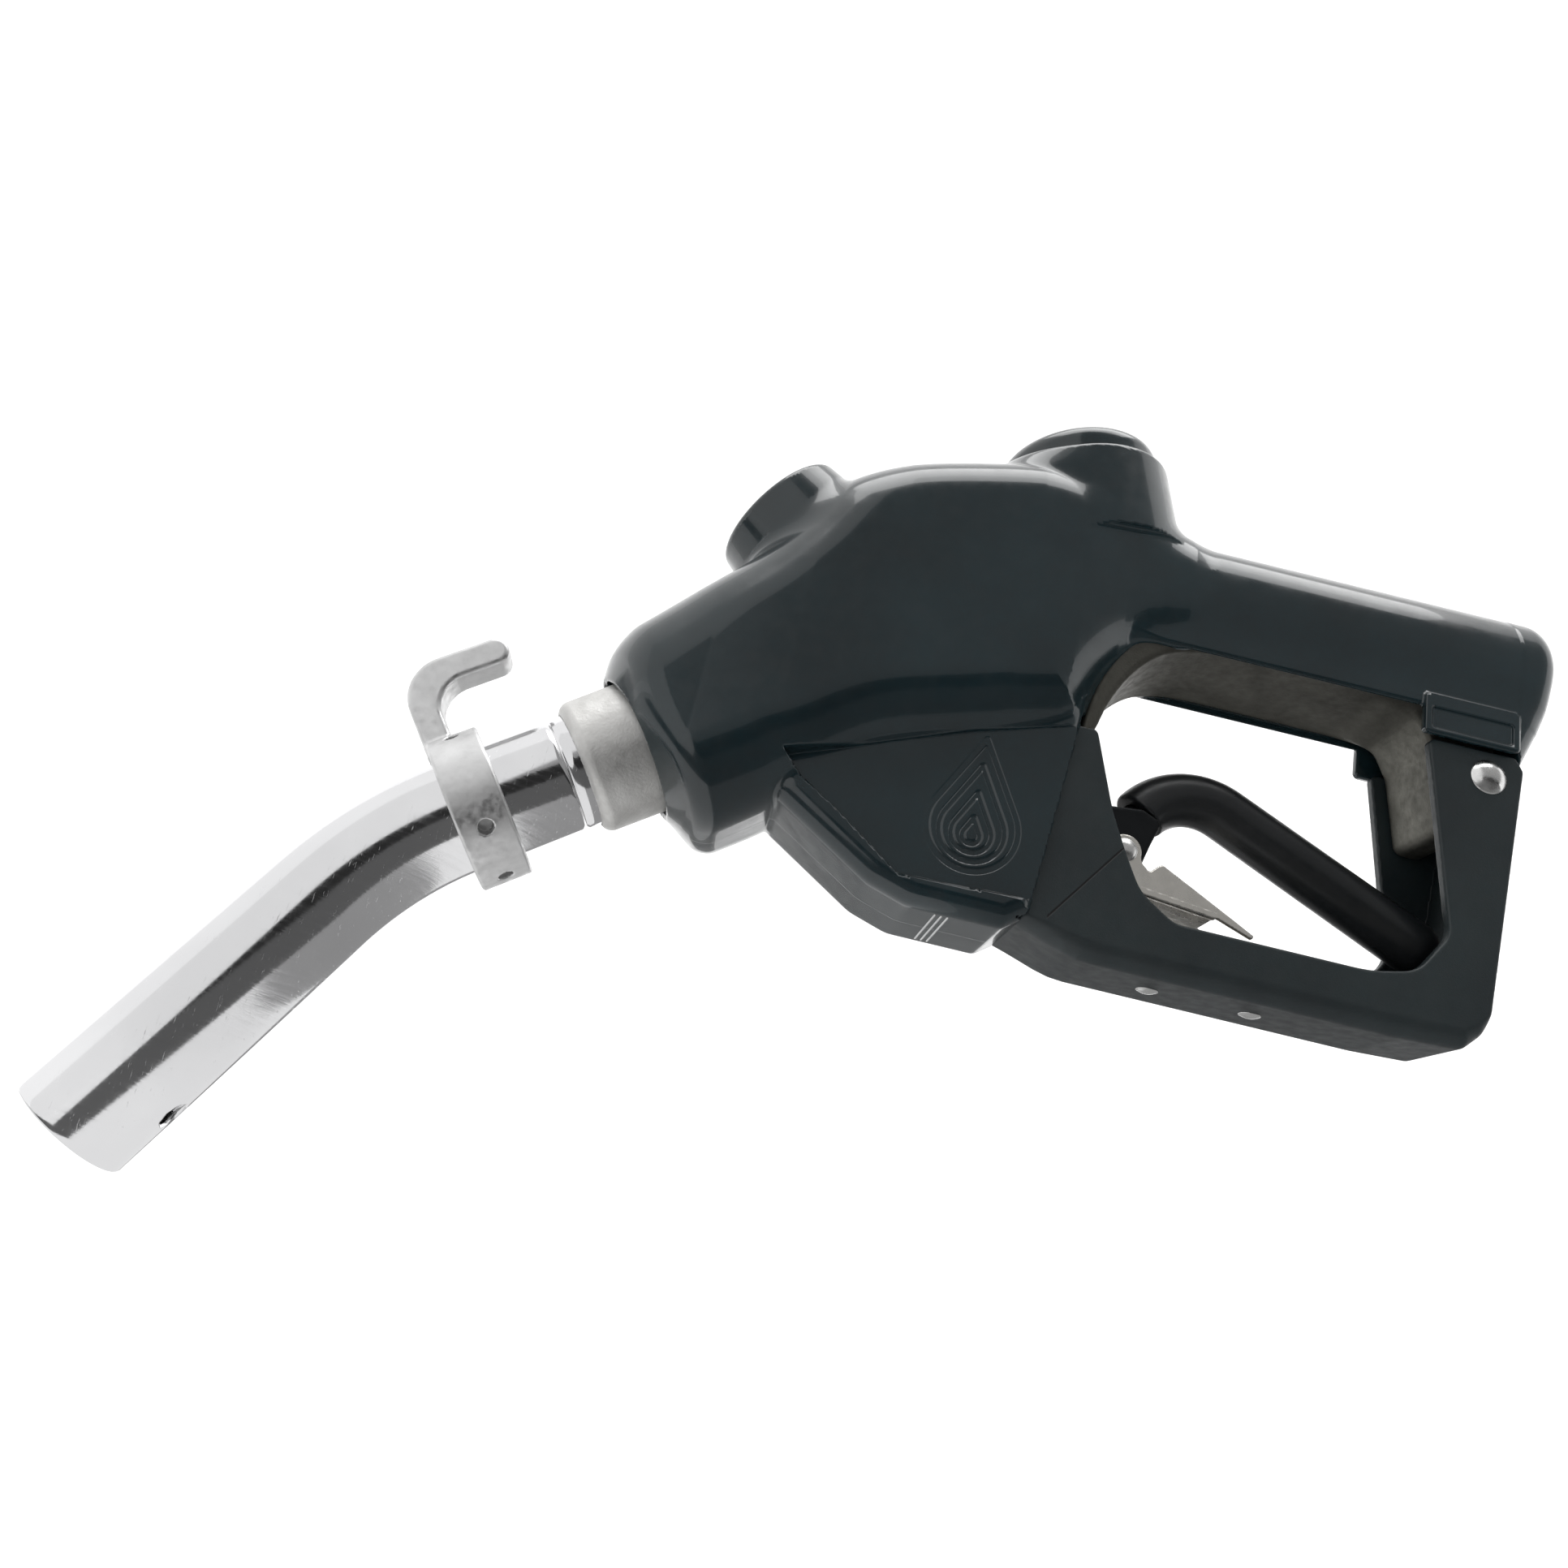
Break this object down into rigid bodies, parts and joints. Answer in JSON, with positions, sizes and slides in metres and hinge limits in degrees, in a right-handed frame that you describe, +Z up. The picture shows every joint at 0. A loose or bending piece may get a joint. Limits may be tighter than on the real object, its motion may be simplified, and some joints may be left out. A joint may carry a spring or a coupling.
{
  "type": "fuel nozzle",
  "caption": "Automatic shut-off fuel nozzle with a bent spout, hang-up hook, vinyl-covered body, sprung lever with hold-open clip, and guard.",
  "frame": {"origin": "centre of the inlet face at the rear end of the grip", "axes": "+X out of the inlet along the grip's axis, +Z up, the hand window below the grip"},
  "size_m": [0.3528, 0.057, 0.2519],
  "materials": {
    "vinyl_cover": "glossy dark blue-green vinyl",
    "guard_plastic": "fine-grained satin black moulding",
    "sleeve_plastic": "smooth satin black moulding",
    "cast_aluminium": "dull sand-cast grain",
    "ring_metal": "machined and tumbled",
    "spout_metal": "bright drawn tube with fine scratches",
    "nickel": "bright nickel plate",
    "rivet_steel": "bright domed head",
    "steel": "turned",
    "black_steel": "black oxide",
    "rack_steel": "dull stamped strip",
    "brass": "turned",
    "rubber": "matt",
    "packing": "natural white"
  },
  "bodies": {
    "nozzle_body": {"body_casting": "cast_aluminium", "body_cover": "vinyl_cover", "inlet_strainer": "steel", "valve_cap": "cast_aluminium", "cap_o_ring": "rubber", "main_spring": "steel", "valve_seat": "brass", "stem_packing": "packing", "packing_nut": "brass", "vacuum_cap": "cast_aluminium", "vacuum_cap_screws": "steel", "diaphragm": "rubber", "diaphragm_spring": "steel", "latch_barrel": "brass", "plunger_spring": "steel", "lever_guard": "guard_plastic", "guard_screws": "steel", "rear_rivet": "rivet_steel", "latch_rack": "rack_steel", "rack_rivets": "rivet_steel", "check_seat": "brass", "check_spring": "steel", "check_guide": "brass", "spout_tube": "spout_metal", "spout_o_ring": "rubber", "spout_lock_screw": "steel", "sensing_tube": "steel", "hook_ring": "ring_metal", "ring_set_screws": "black_steel"},
    "valve": {"main_poppet": "brass", "poppet_seal": "rubber", "valve_stem": "steel"},
    "sensing_pin": {"latch_pin": "steel"},
    "plunger": {"latch_plunger": "steel", "latch_rollers": "steel", "lever_pin": "steel"},
    "lever": {"lever_bracket": "black_steel", "lever_sleeve": "sleeve_plastic", "clip_rivet": "nickel"},
    "clip": {"hold_open_clip": "nickel"},
    "check_valve": {"check_poppet": "steel"}
  },
  "joints": [
    {"name": "plunger_release", "type": "slide", "parent": "nozzle_body", "child": "plunger", "axis": [0.788, 0, -0.6157], "range_m": [0, 0.003], "stiffness_N_per_m": 400, "springref_m": -0.004, "deforming": ["plunger_spring"]},
    {"name": "lever_pull", "type": "hinge", "parent": "plunger", "child": "lever", "pos_m": [-0.124, 0, -0.074], "axis": [0, -1, 0], "range_deg": [0, 12.5], "stiffness_Nm_per_rad": 1.2, "springref_deg": -17.19},
    {"name": "valve_lift", "type": "slide", "parent": "nozzle_body", "child": "valve", "axis": [-0.1736, 0, 0.9848], "range_m": [0, 0.0019], "deforming": ["main_spring"]},
    {"name": "clip_swing", "type": "hinge", "parent": "lever", "child": "clip", "pos_m": [-0.1103, 0, -0.0775], "axis": [0, 1, 0], "range_deg": [-10, 8]},
    {"name": "sensing_pin_lift", "type": "slide", "parent": "nozzle_body", "child": "sensing_pin", "axis": [-0.788, 0, 0.6157], "range_m": [0, 0.0025], "stiffness_N_per_m": 300, "springref_m": -0.003, "deforming": ["diaphragm_spring"]},
    {"name": "check_valve_open", "type": "slide", "parent": "nozzle_body", "child": "check_valve", "axis": [-0.7986, 0, -0.6018], "range_m": [0, 0.005], "stiffness_N_per_m": 300, "springref_m": -0.004, "deforming": ["check_spring"]}
  ],
  "couplings": [
    {"joint": "valve_lift", "follows": "lever_pull", "m_per_rad": 0.0087}
  ]
}
